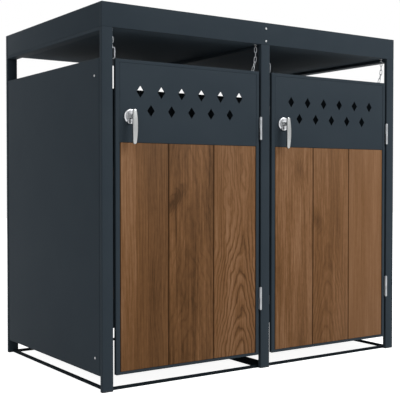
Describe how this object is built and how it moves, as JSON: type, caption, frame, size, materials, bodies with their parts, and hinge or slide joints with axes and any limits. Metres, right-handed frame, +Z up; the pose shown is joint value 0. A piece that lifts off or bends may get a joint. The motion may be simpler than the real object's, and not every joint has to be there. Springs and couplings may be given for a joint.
{
  "type": "wheelie bin store",
  "caption": "Free-standing metal shed for wheelie bins with board-clad hinged doors, flat roof, open ventilation slots and lid chains.",
  "frame": {"origin": "on the floor, under the middle of the whole store with its handles", "axes": "+X along the front to the right as seen from the front, +Y from the doors to the back, +Z up"},
  "size_m": [1.344, 0.845, 1.262],
  "materials": {
    "powder_coat": "fine matt anthracite powder coat",
    "wood_board": "oiled vertical grain",
    "handle_metal": "satin chrome",
    "hinge_steel": "brushed stainless",
    "zinc_plate": "bright zinc plate",
    "chain_zinc": "bright zinc plate",
    "foot_plastic": "moulded",
    "stop_rubber": "moulded"
  },
  "bodies": {
    "store_frame": {"front_post_left": "powder_coat", "front_post_centre": "powder_coat", "front_post_right": "powder_coat", "rear_post_left": "powder_coat", "rear_post_centre": "powder_coat", "rear_post_right": "powder_coat", "post_caps": "foot_plastic", "top_rail_left": "powder_coat", "top_rail_centre": "powder_coat", "top_rail_right": "powder_coat", "ground_rail_left": "powder_coat", "ground_rail_right": "powder_coat", "ground_rail_front": "powder_coat", "ground_rail_rear": "powder_coat", "ground_rail_centre": "powder_coat", "fascia_front": "powder_coat", "fascia_rear": "powder_coat", "fascia_left": "powder_coat", "fascia_right": "powder_coat", "roof_sheet": "powder_coat", "ceiling_sheet": "powder_coat", "roof_rib": "powder_coat", "side_panel_left": "powder_coat", "side_panel_right": "powder_coat", "rear_panel_left": "powder_coat", "rear_panel_right": "powder_coat", "panel_brackets": "powder_coat", "frame_screws": "zinc_plate", "door_stops": "stop_rubber", "hinge_post_leaves": "hinge_steel", "hinge_pins": "hinge_steel", "chain_eyes": "zinc_plate"},
    "left_door": {"left_door_frame": "powder_coat", "left_door_header": "powder_coat", "left_door_board_1": "wood_board", "left_door_board_2": "wood_board", "left_door_board_3": "wood_board", "left_door_battens": "powder_coat", "left_door_fasteners": "zinc_plate", "left_door_hinge_leaves": "hinge_steel", "left_rosette": "handle_metal"},
    "left_handle": {"left_lever": "handle_metal", "left_cam": "zinc_plate"},
    "left_lock": {"left_lock_plug": "handle_metal"},
    "left_bay_chain_handle_side": {"left_bay_chain_handle_side": "chain_zinc"},
    "left_bay_chain_hinge_side": {"left_bay_chain_hinge_side": "chain_zinc"},
    "right_door": {"right_door_frame": "powder_coat", "right_door_header": "powder_coat", "right_door_board_1": "wood_board", "right_door_board_2": "wood_board", "right_door_board_3": "wood_board", "right_door_battens": "powder_coat", "right_door_fasteners": "zinc_plate", "right_door_hinge_leaves": "hinge_steel", "right_rosette": "handle_metal"},
    "right_handle": {"right_lever": "handle_metal", "right_cam": "zinc_plate"},
    "right_lock": {"right_lock_plug": "handle_metal"},
    "right_bay_chain_handle_side": {"right_bay_chain_handle_side": "chain_zinc"},
    "right_bay_chain_hinge_side": {"right_bay_chain_hinge_side": "chain_zinc"}
  },
  "joints": [
    {"name": "left_door_swing", "type": "hinge", "parent": "store_frame", "child": "left_door", "pos_m": [-0.025, -0.3925, 0.566], "axis": [0, 0, 1], "range_deg": [0, 105]},
    {"name": "left_handle_turn", "type": "hinge", "parent": "left_door", "child": "left_handle", "pos_m": [-0.565, -0.3875, 0.8955], "axis": [0, 1, 0], "range_deg": [0, 90]},
    {"name": "left_lock_turn", "type": "hinge", "parent": "left_door", "child": "left_lock", "pos_m": [-0.573, -0.3975, 0.8785], "axis": [0, 1, 0], "range_deg": [0, 90]},
    {"name": "left_bay_chain_handle_side_swing", "type": "hinge", "parent": "store_frame", "child": "left_bay_chain_handle_side", "pos_m": [-0.623, -0.3635, 1.17], "axis": [0.866, -0.5, 0], "range_deg": [0, 60]},
    {"name": "left_bay_chain_hinge_side_swing", "type": "hinge", "parent": "store_frame", "child": "left_bay_chain_hinge_side", "pos_m": [-0.028, -0.3635, 1.17], "axis": [0.6157, 0.788, 0], "range_deg": [0, 60]},
    {"name": "right_door_swing", "type": "hinge", "parent": "store_frame", "child": "right_door", "pos_m": [0.625, -0.3925, 0.566], "axis": [0, 0, 1], "range_deg": [0, 105]},
    {"name": "right_handle_turn", "type": "hinge", "parent": "right_door", "child": "right_handle", "pos_m": [0.085, -0.3875, 0.8955], "axis": [0, 1, 0], "range_deg": [0, 90]},
    {"name": "right_lock_turn", "type": "hinge", "parent": "right_door", "child": "right_lock", "pos_m": [0.077, -0.3975, 0.8785], "axis": [0, 1, 0], "range_deg": [0, 90]},
    {"name": "right_bay_chain_handle_side_swing", "type": "hinge", "parent": "store_frame", "child": "right_bay_chain_handle_side", "pos_m": [0.027, -0.3635, 1.17], "axis": [0.866, -0.5, 0], "range_deg": [0, 60]},
    {"name": "right_bay_chain_hinge_side_swing", "type": "hinge", "parent": "store_frame", "child": "right_bay_chain_hinge_side", "pos_m": [0.622, -0.3635, 1.17], "axis": [0.6157, 0.788, 0], "range_deg": [0, 60]}
  ]
}
